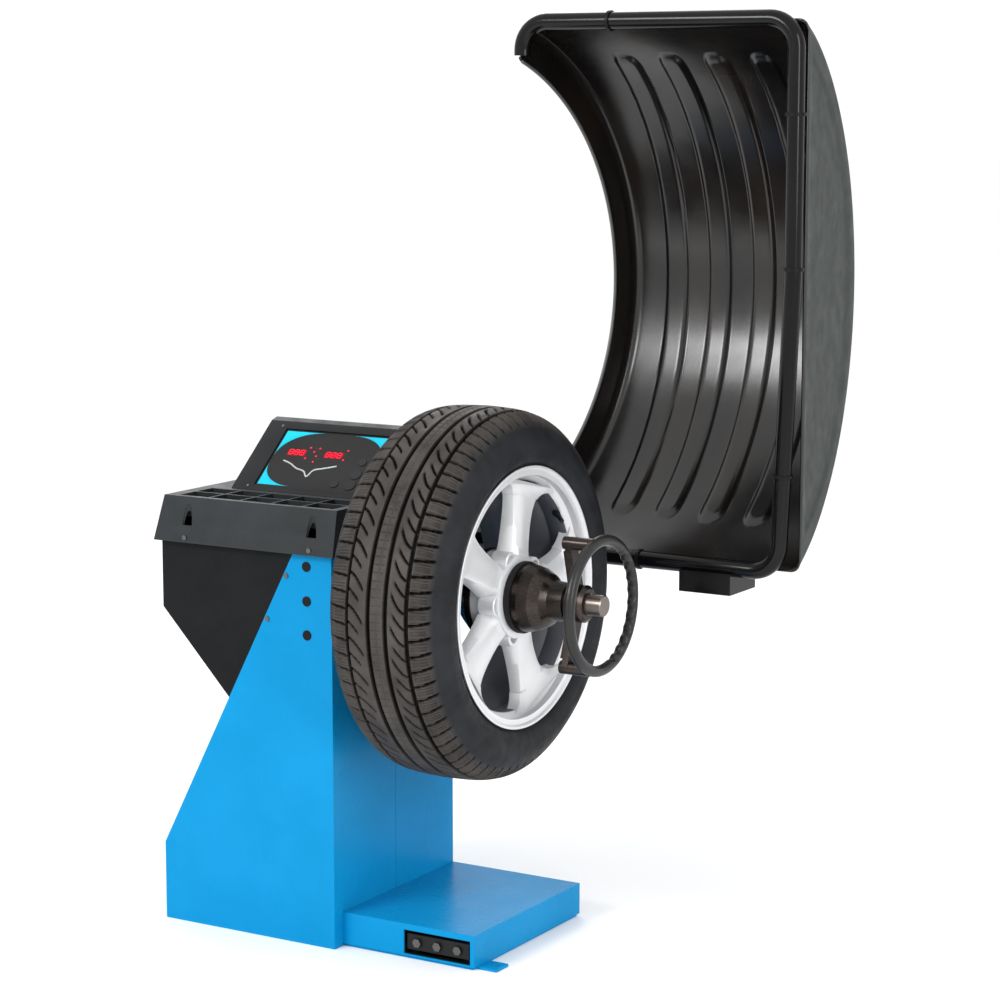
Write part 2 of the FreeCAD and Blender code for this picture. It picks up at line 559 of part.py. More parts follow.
def window(corners, spin):
    """A see-through opening of the wheel's face; corners are (radius, half angle) in degrees."""
    points = []
    for radius, angle in corners:
        a = math.radians(spin + angle)
        points.append((radius * math.cos(a), AXIS_Z + radius * math.sin(a)))
    return prism(points, "x", 195, 280)


def valve():
    a = math.radians(VALVE_ANGLE)
    root = V(WHEEL_X + 74, (RIM_R - 27) * math.cos(a), AXIS_Z + (RIM_R - 27) * math.sin(a))
    way = V(0.75, -0.66 * math.cos(a), -0.66 * math.sin(a))
    return Part.makeCone(7, 4, 16, root, way).fuse(Part.makeCylinder(4, 30, root, way)).removeSplitter()


def quick_nut():
    ring = turned([(HUB_FACE + GAP, 50), (HUB_FACE + GAP, 62), (HUB_FACE + 4, 64), (HUB_FACE + 12, 64),
                   (HUB_FACE + 12, 50)])
    save("cup_ring", ring)
    inner = SHAFT_R + 0.5
    cup = turned([(HUB_FACE + 6, 44), (HUB_FACE + 6, 50), (HUB_FACE + 12, 50), (HUB_FACE + 12, 60),
                  (HUB_FACE + 24, 60), (HUB_FACE + 44, 56), (HUB_FACE + 62, 46), (HUB_FACE + 72, 36),
                  (HUB_FACE + 100, 34), (HUB_FACE + 100, inner), (HUB_FACE + 62, inner), (HUB_FACE + 50, 36)])
    save("pressure_cup", cup)
    start = HUB_FACE + 100 + GAP
    nut = turned([(start, inner), (start, 31), (start + 8, 33), (start + 32, 33), (start + 38, 27),
                  (start + 38, inner)])
    arms = []
    for angle in ARM_ANGLES:
        arm = box(start + 12, start + 24, -12, 12, AXIS_Z + 26, AXIS_Z + RING_R)
        stand = rod_x(0, AXIS_Z + RING_R, 11.5, start + 6, RING_X)
        arms.append(joined(arm, stand).rotate(V(0, 0, AXIS_Z), X_DIR, angle - 90))
    arms = [spoke.cut(torus()) for spoke in arms]
    save("nut_hub", joined(nut, *arms))
    levers = [box(start + 4, start + 12, -6, 6, AXIS_Z + 34, AXIS_Z + 100) for angle in ARM_ANGLES]
    levers = [lever.rotate(V(0, 0, AXIS_Z), X_DIR, angle - 90) for lever, angle in zip(levers, ARM_ANGLES)]
    save("nut_levers", *levers)
    ring = torus()
    a = math.radians(LUG_ANGLE)
    lug = box(RING_X - 9, RING_X + 9, -9, 9, AXIS_Z + RING_R - 22, AXIS_Z + RING_R - 4)
    ring = joined(ring, lug.rotate(V(0, 0, AXIS_Z), X_DIR, math.degrees(a) - 90))
    save("handwheel_ring", ring)


def torus():
    return Part.makeTorus(RING_R, RING_T, V(RING_X, 0, AXIS_Z), X_DIR)


# ---- hood ----------------------------------------------------------------------------------
RIB_WIDTH = 46.0
RIB_RISE = 7.0
RIB_STARTS = (160.0, 255.0, 350.0, 445.0)


def hood_body(grow):
    """The hood's solid form, grown outward by grow, reaching back from the opening."""
    slope = HOOD_DRAFT / HOOD_DEPTH
    far = HOOD_DEPTH + 60
    near = 40
    sides = [(HOOD_LEFT - grow - slope * near, HOOD_Y - near), (HOOD_RIGHT + grow + slope * near, HOOD_Y - near),
             (HOOD_RIGHT + grow - slope * far, HOOD_Y + far), (HOOD_LEFT - grow + slope * far, HOOD_Y + far)]
    wedge = prism(sides, "z", HOOD_CZ - 700, HOOD_CZ + 700)
    return wedge.common(rod_x(HOOD_CY, HOOD_CZ, HOOD_R + grow, -100, 800))


def hood():
    inner = hood_body(-HOOD_T)
    shell = hood_body(0).cut(inner)
    shell = shell.cut(box(-200, 900, HOOD_Y - 300, HOOD_Y, HOOD_CZ - 800, HOOD_CZ + 800))
    shell = shell.cut(rod_x(HOOD_CY, HOOD_CZ, HOOD_R - HOOD_LIP, -100, 120))
    reach = HOOD_R - HOOD_T
    for x in RIB_STARTS:
        band = ring_x(HOOD_CY, HOOD_CZ, reach + 1, reach - RIB_RISE, x, x + RIB_WIDTH)
        keep = box(x - 1, x + RIB_WIDTH + 1, HOOD_Y + 55, HOOD_Y + 500, HOOD_CZ - 440, HOOD_CZ + 440)
        shell = shell.fuse(band.common(keep))
    stations = [HOOD_LEFT - 5] + [x + side for x in RIB_STARTS for side in (0, RIB_WIDTH)] + [HOOD_RIGHT + 5]
    strips = [shell.common(box(start, end, 0, 1000, HOOD_CZ - 800, HOOD_CZ + 800))
              for start, end in zip(stations, stations[1:])]
    save("hood_shell", strips[0].multiFuse(strips[1:]))

    half = math.sqrt(HOOD_R ** 2 - (HOOD_Y - HOOD_CY) ** 2)
    y = HOOD_Y - TUBE_R - GAP
    top = HOOD_CZ + half
    low = HOOD_CZ - half
    left = HOOD_LEFT + TUBE_R
    right = HOOD_RIGHT - TUBE_R
    path = [V(left, y, top - 62), V(left, y, top), V(right, y, top), V(right, y, HOOD_CZ + 40),
            V(right - 22, y, low), V(left, y, low), V(left, y, low + 62)]
    save("hood_frame", pipe(path, TUBE_R, 52.0))
    ties = []
    for x, z, way in ((230, top, "x"), (right, HOOD_CZ + 330, "z"), (right, HOOD_CZ + 55, "z"),
                      (right - 16, HOOD_CZ - 320, "z"), (300, low, "x")):
        if way == "x":
            tie = ring_x(y, z, TUBE_R + 3, TUBE_R, x - 3, x + 3)
        else:
            lean = 0 if z > HOOD_CZ + 40 else math.degrees(math.atan2(22, HOOD_CZ + 40 - low))
            tie = rod_z(x, y, TUBE_R + 3, z - 3, z + 3).cut(rod_z(x, y, TUBE_R, z - 4, z + 4))
            drop = (HOOD_CZ + 40 - z) * 22 / (HOOD_CZ + 40 - low) if lean else 0
            tie = tie.translate(V(right - drop - x, 0, 0)).rotate(V(right - drop, y, z), Y_DIR, lean)
        ties.append(tie.cut(box(-100, 800, HOOD_Y - 0.1, HOOD_Y + 20, 0, 2000)))
    save("hood_ties", *ties)

    arm_y, arm_z = ARM_TUBE
    clamp = box(395, 500, y - 24, arm_y + 24, arm_z - 42, arm_z - 2)
    clamp = clamp.cut(rod_x(arm_y, arm_z, TUBE_R, 300, 600)).cut(rod_x(y, low, TUBE_R, 300, 600))
    clamp = clamp.cut(box(300, 600, HOOD_Y - 2, arm_y, arm_z - 2.5, arm_z))
    save("hood_clamp", clamp)
    hub = ring_x(PIVOT_Y, PIVOT_Z, 25, PIN_R + RUN, -132, -48)
    reach_y, reach_z = arm_y - PIVOT_Y, arm_z - PIVOT_Z
    length = math.hypot(reach_y, reach_z)
    plate = box(-95, -85, -22, 22, 0, length + 20)
    plate = joined(plate, rod_x(0, length, 24, -95, -85))
    plate.rotate(V(0, 0, 0), X_DIR, -math.degrees(math.atan2(reach_y, reach_z)))
    plate.translate(V(0, PIVOT_Y, PIVOT_Z))
    plate = plate.cut(rod_x(PIVOT_Y, PIVOT_Z, 20, -200, 0))
    save("hood_arm", joined(hub, plate, rod_x(arm_y, arm_z, TUBE_R, -95, 512)))
    save("hood_bracket", bracket())
    save("hood_pin", pin())
    save("stop_bumper", rod_x(326, 741, 9, -118, -62))


def bracket():
    cheeks = []
    for x in (-148, -40):
        cheeks.append(prism([(BACK_Y, 640), (BACK_Y, 860), (PIVOT_Y + 26, PIVOT_Z + 30),
                             (PIVOT_Y + 26, 732), (300, 715)], "x", x, x + 8))
    plate = box(-160, -20, BACK_Y, BACK_Y + 8, 640, 704)
    shape = joined(cheeks[0], cheeks[1], plate, box(-148, -32, 250, 258, 690, 704))
    bore = rod_x(PIVOT_Y, PIVOT_Z, PIN_R, -200, 0)
    rest = rod_x(326, 741, 9, -200, 0)
    return shape.cut(bore).cut(rest.common(box(-118, -62, 0, 500, 0, 900)))


def pin():
    body = rod_x(PIVOT_Y, PIVOT_Z, PIN_R, -156, -26)
    heads = [rod_x(PIVOT_Y, PIVOT_Z, 17, -156, -148), rod_x(PIVOT_Y, PIVOT_Z, 17, -32, -26)]
    return joined(body, *heads)


def main():
    os.makedirs("parts", exist_ok=True)
    base()
    cabinet()
    tray_casing()
    tray()
    display()
    drive()
    gauge()
    electrics()
    wheel()
    quick_nut()
    hood()


main()
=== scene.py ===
import math

import bmesh
import bpy
import numpy as np
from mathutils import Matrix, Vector


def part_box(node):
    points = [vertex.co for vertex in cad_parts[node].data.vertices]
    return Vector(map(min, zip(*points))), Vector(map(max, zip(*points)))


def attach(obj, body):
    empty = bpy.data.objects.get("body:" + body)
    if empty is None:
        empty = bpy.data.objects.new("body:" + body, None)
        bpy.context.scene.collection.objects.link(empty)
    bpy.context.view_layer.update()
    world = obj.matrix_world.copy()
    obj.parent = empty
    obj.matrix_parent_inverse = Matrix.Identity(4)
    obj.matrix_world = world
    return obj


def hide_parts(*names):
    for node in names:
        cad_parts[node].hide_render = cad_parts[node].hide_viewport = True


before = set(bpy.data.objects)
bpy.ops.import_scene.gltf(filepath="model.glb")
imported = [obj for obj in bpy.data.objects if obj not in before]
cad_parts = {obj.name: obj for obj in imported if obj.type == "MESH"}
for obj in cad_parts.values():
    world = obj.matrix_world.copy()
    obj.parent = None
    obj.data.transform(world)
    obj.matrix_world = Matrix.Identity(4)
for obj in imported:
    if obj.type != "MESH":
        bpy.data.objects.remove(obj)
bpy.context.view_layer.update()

# Metres. +X runs along the shaft towards the operator's right, the operator stands at -Y.
# ---- main places, the same as in the CAD --------------------------------------------------
SHAFT_Z = 0.634
WHEEL_X = 0.167
TYRE_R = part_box("tyre")[1].z - SHAFT_Z
RING_X = 0.427
RING_R = 0.1145
GRIP_R, SCALLOP = 0.0100, 0.0045
HOOD_Y = 0.395
HOOD_CY, HOOD_CZ, HOOD_R = 0.230, 1.147, 0.525
HOOD_DEPTH = 0.360
HOOD_LEFT, HOOD_RIGHT, HOOD_DRAFT = 0.027, 0.622, 0.056
HOOD_LIP = 0.068


# ---- material helpers -------------------------------------------------------------------
class Mat:
    """A node material with a Principled shader and object-space coordinates."""

    def __init__(self, name, colour, rough=0.5, metal=0.0):
        self.mat = bpy.data.materials.new(name)
        self.mat.use_nodes = True
        self.tree = self.mat.node_tree
        self.shader = self.tree.nodes["Principled BSDF"]
        self.shader.inputs["Base Color"].default_value = (*colour, 1)
        self.shader.inputs["Roughness"].default_value = rough
        self.shader.inputs["Metallic"].default_value = metal
        self.coords = self.node("ShaderNodeTexCoord").outputs["Object"]
        self.normal = None

    def node(self, kind, **values):
        made = self.tree.nodes.new(kind)
        for key, value in values.items():
            setattr(made, key, value)
        return made

    def link(self, a, b):
        self.tree.links.new(a, b)

    def stretched(self, scale):
        mapping = self.node("ShaderNodeMapping")
        mapping.inputs["Scale"].default_value = scale
        self.link(self.coords, mapping.inputs["Vector"])
        return mapping.outputs["Vector"]

    def noise(self, scale, detail=4.0, rough=0.55, vector=None):
        made = self.node("ShaderNodeTexNoise")
        made.inputs["Scale"].default_value = scale
        made.inputs["Detail"].default_value = detail
        made.inputs["Roughness"].default_value = rough
        self.link(vector or self.coords, made.inputs["Vector"])
        return made.outputs["Fac"]

    def cells(self, scale, vector=None, feature="F1"):
        made = self.node("ShaderNodeTexVoronoi", feature=feature)
        made.inputs["Scale"].default_value = scale
        self.link(vector or self.coords, made.inputs["Vector"])
        return made.outputs["Distance"]

    def ramp(self, fac, *stops):
        """stops are (place, colour or grey)."""
        made = self.node("ShaderNodeValToRGB")
        elements = made.color_ramp.elements
        while len(elements) < len(stops):
            elements.new(0.5)
        for element, (place, value) in zip(elements, stops):
            element.position = place
            element.color = (*value, 1) if isinstance(value, tuple) else (value, value, value, 1)
        self.link(fac, made.inputs["Fac"])
        return made.outputs["Color"]

    def mix(self, fac, a, b):
        made = self.node("ShaderNodeMix", data_type="RGBA")
        for socket, value in ((made.inputs[0], fac), (made.inputs[6], a), (made.inputs[7], b)):
            if isinstance(value, (int, float)):
                socket.default_value = value
            elif isinstance(value, tuple):
                socket.default_value = (*value, 1)
            else:
                self.link(value, socket)
        return made.outputs[2]

    def colour(self, socket):
        self.link(socket, self.shader.inputs["Base Color"])
        return self

    def roughness(self, fac, low, high):
        self.link(self.ramp(fac, (0.3, low), (0.7, high)), self.shader.inputs["Roughness"])
        return self

    def bump(self, height, depth, strength=1.0):
        made = self.node("ShaderNodeBump")
        made.inputs["Strength"].default_value = strength
        made.inputs["Distance"].default_value = depth
        self.link(height, made.inputs["Height"])
        if self.normal:
            self.link(self.normal, made.inputs["Normal"])
        self.normal = made.outputs["Normal"]
        self.link(self.normal, self.shader.inputs["Normal"])
        return self

    def edges(self):
        """Bright on sharp outer edges, dark in hollows."""
        return self.node("ShaderNodeNewGeometry").outputs["Pointiness"]

    def specular(self, level):
        self.shader.inputs["Specular IOR Level"].default_value = level
        return self


def painted(name, colour, rough, dust=0.12):
    """Powder-coated steel: orange peel, faint mottling, paler worn edges."""
    m = Mat(name, colour, rough)
    drift = m.noise(6.0, 3.0)
    darker = tuple(c * 0.93 for c in colour)
    paler = tuple(min(1.0, c * 1.05 + 0.002) for c in colour)
    base = m.ramp(drift, (0.30, darker), (0.70, paler))
    wear = m.ramp(m.edges(), (0.53, 0.0), (0.60, dust))
    m.colour(m.mix(wear, base, tuple(min(1.0, c * 1.2 + 0.04) for c in colour)))
    m.roughness(m.noise(22.0, 5.0), rough * 0.8, rough * 1.25)
    m.bump(m.noise(700.0, 2.0), 0.00006, 0.5)
    return m


def grained(name, colour, rough, grain=900.0, depth=0.00012, spread=0.18):
    """Moulded plastic with a fine leather-like grain and faint flow marks."""
    m = Mat(name, colour, rough)
    drift = m.noise(9.0, 4.0)
    darker = tuple(c * (1 - spread) for c in colour)
    paler = tuple(c * (1 + spread) for c in colour)
    base = m.ramp(drift, (0.35, darker), (0.65, paler))
    wear = m.ramp(m.edges(), (0.54, 0.0), (0.62, 0.28))
    m.colour(m.mix(wear, base, tuple(min(1.0, c * 1.9 + 0.003) for c in colour)))
    m.roughness(m.noise(30.0, 4.0), rough * 0.85, rough * 1.18)
    m.bump(m.cells(grain), depth, 0.55)
    return m


def metal(name, colour, rough, stretch=(30, 600, 600), depth=0.00002, spread=0.12):
    """Bare metal with turned or drawn marks and uneven dullness."""
    m = Mat(name, colour, rough, 1.0)
    marks = m.noise(1.0, 5.0, 0.6, m.stretched(stretch))
    drift = m.noise(14.0, 4.0)
    darker = tuple(c * (1 - spread) for c in colour)
    paler = tuple(min(1.0, c * (1 + spread)) for c in colour)
    m.colour(m.ramp(m.mix(0.5, drift, marks), (0.35, darker), (0.65, paler)))
    m.roughness(drift, rough * 0.75, rough * 1.3)
    m.bump(marks, depth, 0.6)
    return m


def lamp(name, colour, strength):
    m = Mat(name, colour, 0.25)
    m.shader.inputs["Emission Color"].default_value = (*colour, 1)
    m.shader.inputs["Emission Strength"].default_value = strength
    m.bump(m.noise(900.0), 0.00002, 0.3)
    return m


# ---- the finishes -----------------------------------------------------------------------
BLUE = (0.0, 0.230, 0.50)


def finishes():
    f = {}
    f["blue_paint"] = painted("azure_paint", BLUE, 0.30, 0.03).specular(0.07)
    f["black_sheet"] = painted("black_sheet_paint", (0.006, 0.0065, 0.007), 0.36).specular(0.16)
    f["tray_plastic"] = grained("tray_plastic", (0.017, 0.020, 0.022), 0.46, 700.0, 0.0002).specular(0.22)
    f["casing_plastic"] = grained("casing_plastic", (0.004, 0.0045, 0.005), 0.55, 420.0, 0.0003, 0.3)
    f["casing_plastic"].specular(0.11)
    f["hood_outer"] = grained("hood_outer_skin", (0.034, 0.040, 0.0385), 0.56, 1100.0, 0.0001, 0.07)
    f["hood_outer"].specular(0.18)
    hood = Mat("hood_inner_skin", (0.010, 0.010, 0.010), 0.26)
    # Painted reflection: stretched noise lays lighter brownish streaks over the near-black inner skin,
    # standing in for a softbox reflected in the ribs.
    painted_reflection_streaks = hood.noise(3.0, 3.0, 0.5, hood.stretched((3.0, 1.0, 0.6)))
    hood.colour(hood.ramp(painted_reflection_streaks, (0.35, (0.002, 0.002, 0.002)), (0.70, (0.014, 0.0105, 0.0085))))
    hood.roughness(hood.noise(10.0, 5.0), 0.17, 0.28)
    hood.bump(hood.noise(7.0, 2.0), 0.0022, 0.30).bump(hood.noise(160.0, 2.0), 0.00012, 0.3)
    f["hood_plastic"] = hood.specular(0.60)
    f["hood_bead"] = grained("hood_bead_plastic", (0.09, 0.092, 0.092), 0.36, 900.0, 0.00005)
    f["black_tube"] = painted("gloss_black_tube", (0.002, 0.002, 0.0025), 0.15, 0.004).specular(0.22)
    rubber = Mat("tyre_rubber", (0.020, 0.019, 0.018), 0.62)
    dust = rubber.noise(16.0, 5.0)
    # The crown is painted paler brown-grey: partly scuffed rubber, partly a painted highlight on the tread.
    worn_and_highlit = rubber.ramp(dust, (0.35, (0.032, 0.029, 0.027)), (0.68, (0.064, 0.056, 0.050)))
    wall = rubber.ramp(dust, (0.35, (0.009, 0.010, 0.012)), (0.68, (0.017, 0.018, 0.021)))
    crown = rubber.node("ShaderNodeAttribute", attribute_name="crown").outputs["Fac"]
    # Painted shade: points deep in the grooves are mixed towards near-black.
    groove_shade = rubber.node("ShaderNodeAttribute", attribute_name="groove_shade").outputs["Fac"]
    rubber.colour(rubber.mix(groove_shade, rubber.mix(crown, wall, worn_and_highlit), (0.001, 0.001, 0.001)))
    rubber.specular(0.18)
    rubber.roughness(rubber.noise(40.0, 4.0), 0.50, 0.72)
    rubber.bump(rubber.noise(1500.0, 2.0), 0.00012, 0.6)
    f["tyre"] = rubber
    silver = Mat("wheel_silver", (0.70, 0.71, 0.72), 0.34, 0.35)
    flake = silver.cells(2600.0)
    sparkle = silver.ramp(flake, (0.1, 0.0), (0.6, 0.35))
    clouds = silver.ramp(silver.noise(11.0, 3.0), (0.3, (0.62, 0.63, 0.65)), (0.7, (0.70, 0.71, 0.725)))
    silver.colour(silver.mix(sparkle, clouds, (0.92, 0.93, 0.94)))
    silver.roughness(silver.noise(25.0, 4.0), 0.32, 0.42)
    silver.bump(silver.noise(900.0, 2.0), 0.00003, 0.3)
    f["wheel_silver"] = silver
    # Painted shade: a darker blue-grey for the inside of the rim's barrel, where shade falls.
    f["barrel_painted_shade"] = painted("barrel_painted_shade_grey", (0.060, 0.064, 0.075), 0.45)
    f["alloy"] = metal("cast_alloy", (0.62, 0.63, 0.64), 0.34, (220, 220, 220))
    f["steel"] = metal("turned_steel", (0.20, 0.17, 0.15), 0.26)
    f["dark_steel"] = metal("browned_steel", (0.055, 0.046, 0.041), 0.30, (40, 300, 300), 0.00003, 0.35)
    f["cast_grey"] = grained("handwheel_plastic", (0.013, 0.012, 0.0115), 0.34, 800.0, 0.00006).specular(0.40)
    f["rubber"] = grained("seal_rubber", (0.010, 0.010, 0.011), 0.66, 1300.0, 0.00008).specular(0.2)
    f["black_plastic"] = grained("black_plastic", (0.004, 0.004, 0.0045), 0.42, 1000.0, 0.00008)
    f["black_plastic"].specular(0.14)
    f["housing_plastic"] = grained("housing_plastic", (0.010, 0.011, 0.012), 0.44, 900.0, 0.00012)
    f["housing_plastic"].specular(0.20)
    f["membrane"] = grained("membrane_film", (0.012, 0.012, 0.012), 0.30, 1600.0, 0.00003).specular(0.20)
    f["cyan_film"] = grained("cyan_film", (0.0, 0.42, 0.62), 0.30, 1600.0, 0.00003).specular(0.2)
    f["red_lamp"] = lamp("red_lamp", (0.80, 0.0, 0.025), 0.7)
    f["red_window"] = grained("red_window", (0.14, 0.002, 0.006), 0.20, 900.0, 0.00001).specular(0.2)
    f["grey_key"] = grained("grey_key", (0.016, 0.016, 0.017), 0.40, 1200.0, 0.00005).specular(0.20)
    f["pale_print"] = grained("pale_print", (0.42, 0.45, 0.46), 0.40, 1200.0, 0.00002)
    f["circuit"] = painted("circuit_board", (0.01, 0.10, 0.04), 0.35)
    f["copper"] = metal("copper_winding", (0.60, 0.27, 0.12), 0.30, (400, 400, 400))
    f["zinc"] = metal("zinc_plate", (0.13, 0.125, 0.12), 0.34, (200, 200, 200))
    return {key: m.mat for key, m in f.items()}


FIN = finishes()

NODE_FINISH = {
    "blue_paint": ("base_plate", "base_cover", "front_panel", "cabinet_shell", "side_panel", "rear_cover"),
    "black_sheet": ("lift_pocket", "hood_bracket", "chassis_column"),
    "tray_plastic": ("weight_tray",),
    "casing_plastic": ("tray_casing",),
    "housing_plastic": ("display_housing",),
    "membrane": ("display_membrane",),
    "red_window": ("led_modules",),
    "circuit": ("display_board", "power_board"),
    "grey_key": ("start_key", "stop_key", "mode_key", "function_key"),
    "black_plastic": ("panel_plugs", "power_inlet", "switch_frame", "switch_rocker", "hood_ties",
                      "encoder_sensor", "gauge_bush"),
    "rubber": ("belt", "stop_bumper", "cup_ring", "valve_stem"),
    "zinc": ("case_screws", "lift_bolts", "suspension_springs", "force_sensors", "hood_pin", "encoder_disc"),
    "steel": ("shaft", "rear_bearing", "front_bearing", "motor_shaft", "gauge_rod"),
    "alloy": ("spindle_housing", "shaft_pulley", "motor_pulley", "motor"),
    "dark_steel": ("backing_flange", "centring_cone", "pressure_cup", "nut_hub", "nut_levers"),
    "cast_grey": ("handwheel_ring", "gauge_arm"),
    "copper": ("transformer",),
    "wheel_silver": ("rim",),
    "tyre": ("tyre",),
    "hood_plastic": ("hood_shell",),
    "black_tube": ("hood_frame", "hood_arm", "hood_clamp"),
}


ROUNDED = ("weight_tray", "display_housing")


def finish_frame_nodes():
    for finish, names in NODE_FINISH.items():
        for name in names:
            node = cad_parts[name]
            if not node.material_slots:
                node.data.materials.append(FIN[finish])
            for spot in node.material_slots:
                spot.material = FIN[finish]
            soften(node, 0.0022 if name in ROUNDED else 0.0008)


def soften(thing, width, segments=2):
    """A small rounded edge where faces meet sharply."""
    bevel = thing.modifiers.new("edge", "BEVEL")
    bevel.width = width
    bevel.segments = segments
    bevel.limit_method = "ANGLE"
    bevel.angle_limit = math.radians(40)
    bevel.harden_normals = False
    bevel.use_clamp_overlap = True
    return bevel


# ---- mesh helpers -----------------------------------------------------------------------
def add_mesh(name, verts, faces, materials, body, smooth=True):
    mesh = bpy.data.meshes.new(name)
    mesh.from_pydata([tuple(v) for v in verts], [], faces)
    for finish in materials:
        mesh.materials.append(FIN[finish])
    thing = bpy.data.objects.new(name, mesh)
    bpy.context.scene.collection.objects.link(thing)
    tidy = bmesh.new()
    tidy.from_mesh(mesh)
    bmesh.ops.remove_doubles(tidy, verts=tidy.verts, dist=0.00001)
    bmesh.ops.dissolve_degenerate(tidy, edges=tidy.edges, dist=0.000005)
    bmesh.ops.recalc_face_normals(tidy, faces=tidy.faces)
    for face in tidy.faces:
        face.smooth = smooth
    tidy.to_mesh(mesh)
    tidy.free()
    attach(thing, body)
    return thing


def grid_faces(rows, columns, wrap_rows=False, wrap_columns=False, start=0):
    faces = []
    for i in range(rows if wrap_rows else rows - 1):
        for j in range(columns if wrap_columns else columns - 1):
            a = start + i * columns + j
            b = start + i * columns + (j + 1) % columns
            c = start + ((i + 1) % rows) * columns + (j + 1) % columns
            d = start + ((i + 1) % rows) * columns + j
            faces.append((a, b, c, d))
    return faces


def smooth_line(points, per_run):
    """Catmull-Rom points through a list of 2-D points."""
    ends = [points[0]] + list(points) + [points[-1]]
    line = []
    for p0, p1, p2, p3 in zip(ends, ends[1:], ends[2:], ends[3:]):
        for k in range(per_run):
            t = k / per_run
            line.append(tuple(0.5 * (2 * b + (c - a) * t + (2 * a - 5 * b + 4 * c - d) * t * t
                                     + (3 * b - a - 3 * c + d) * t ** 3)
                              for a, b, c, d in zip(p0, p1, p2, p3)))
    line.append(tuple(points[-1]))
    return line


def turned(name, outline, materials, body, steps):
    """A closed outline of (x, radius) turned about the shaft's axis."""
    verts = []
    for i in range(steps):
        a = 2 * math.pi * i / steps
        verts += [(x, r * math.cos(a), SHAFT_Z + r * math.sin(a)) for x, r in outline]
    return add_mesh(name, verts, grid_faces(steps, len(outline), True, True), materials, body)


def tube(points, radius, sides=12):
    """Vertices and faces of a capped tube along 3-D points."""
    points = [Vector(p) for p in points]
    verts, faces = [], []
    for i, p in enumerate(points):
        ahead = (points[min(i + 1, len(points) - 1)] - points[max(i - 1, 0)]).normalized()
        side = ahead.orthogonal().normalized() if i == 0 else (side - ahead * side.dot(ahead)).normalized()
        other = ahead.cross(side)
        for k in range(sides):
            a = 2 * math.pi * k / sides
            verts.append(p + side * (radius * math.cos(a)) + other * (radius * math.sin(a)))
    faces += grid_faces(len(points), sides, False, True)
    faces.append(tuple(range(sides)))
    faces.append(tuple(range(len(verts) - sides, len(verts))))
    return verts, faces


# ---- tyre -------------------------------------------------------------------------------
TYRE_SIDE = [(0.106, 0.2355), (0.1135, 0.243), (0.1175, 0.252), (0.119, 0.264), (0.1187, 0.276),
             (0.112, 0.289), (0.101, 0.304), (0.090, 0.3165), (0.076, 0.3255), (0.050, 0.3312), (0.0, 0.3334)]
PITCHES = 74
SAMPLES = 16                  # points around the tyre within one tread pitch
GROOVES = ((-0.050, 0.0036), (-0.006, 0.0048), (0.028, 0.0048), (0.068, 0.0042))
GROOVE_DEPTH = 0.0078


def tread_depth(across, along):
    """How far the tread is cut in; across in metres from the middle, along in metres around."""
    pitch = 2 * math.pi * TYRE_R / PITCHES
    cut = np.zeros_like(across)
    for centre, half in GROOVES:
        cut = np.maximum(cut, GROOVE_DEPTH * np.clip((half - np.abs(across - centre)) / 0.0010, 0, 1))

    def slots(first, last, curve, half, depth, every=1, phase=0.0):
        share = np.clip((across - first) / (last - first), 0, 1)
        inside = (across >= min(first, last) - 0.0005) & (across <= max(first, last) + 0.0005)
        step = pitch * every
        middle = curve(share) + phase * pitch
        ahead, behind = np.minimum(share + 0.01, 1.0), np.maximum(share - 0.01, 0.0)
        slope = (curve(ahead) - curve(behind)) / ((ahead - behind) * abs(last - first))
        gap = np.abs((along - middle + step / 2) % step - step / 2) / np.sqrt(1 + slope ** 2)
        ends = np.clip((1.0 - share) / 0.12, 0.25, 1)
        return np.where(inside, depth * ends * np.clip((half - gap) / (half * 0.5), 0, 1), 0)

    outer = slots(0.070, 0.113, lambda s: -0.0055 * s ** 2, 0.0027, 0.0068)
    inner = slots(-0.053, -0.113, lambda s: -0.006 * s, 0.0027, 0.0068, phase=0.35)
    long_leaf = slots(-0.047, -0.018, lambda s: 0.030 * s ** 1.4, 0.0026, 0.0062, 2, 0.1)
    short_leaf = slots(-0.047, -0.026, lambda s: 0.020 * s ** 1.2, 0.0023, 0.0058, 2, 1.1)
    long_hook = slots(0.065, 0.037, lambda s: -0.034 * s ** 1.7, 0.0026, 0.0062, 2, 0.3)
    short_hook = slots(0.065, 0.041, lambda s: -0.026 * s ** 1.3, 0.0024, 0.0058, 2, 1.3)
    cross = slots(0.001, 0.021, lambda s: 0.0 * s, 0.0011, 0.0014, 0.5)
    middle_line = np.where(np.abs(across - 0.011) < 0.0012, 0.0012, 0)
    fine = pitch / 5
    lines = np.abs((along + fine / 2) % fine - fine / 2) < 0.0011
    ribs = ((across > 0.074) & (across < 0.104)) | ((across < -0.056) & (across > -0.100))
    sipes = np.where(lines & ribs, 0.0017, 0)
    for part in (outer, inner, long_leaf, short_leaf, long_hook, short_hook, cross, middle_line, sipes):
        cut = np.maximum(cut, part)
    return cut


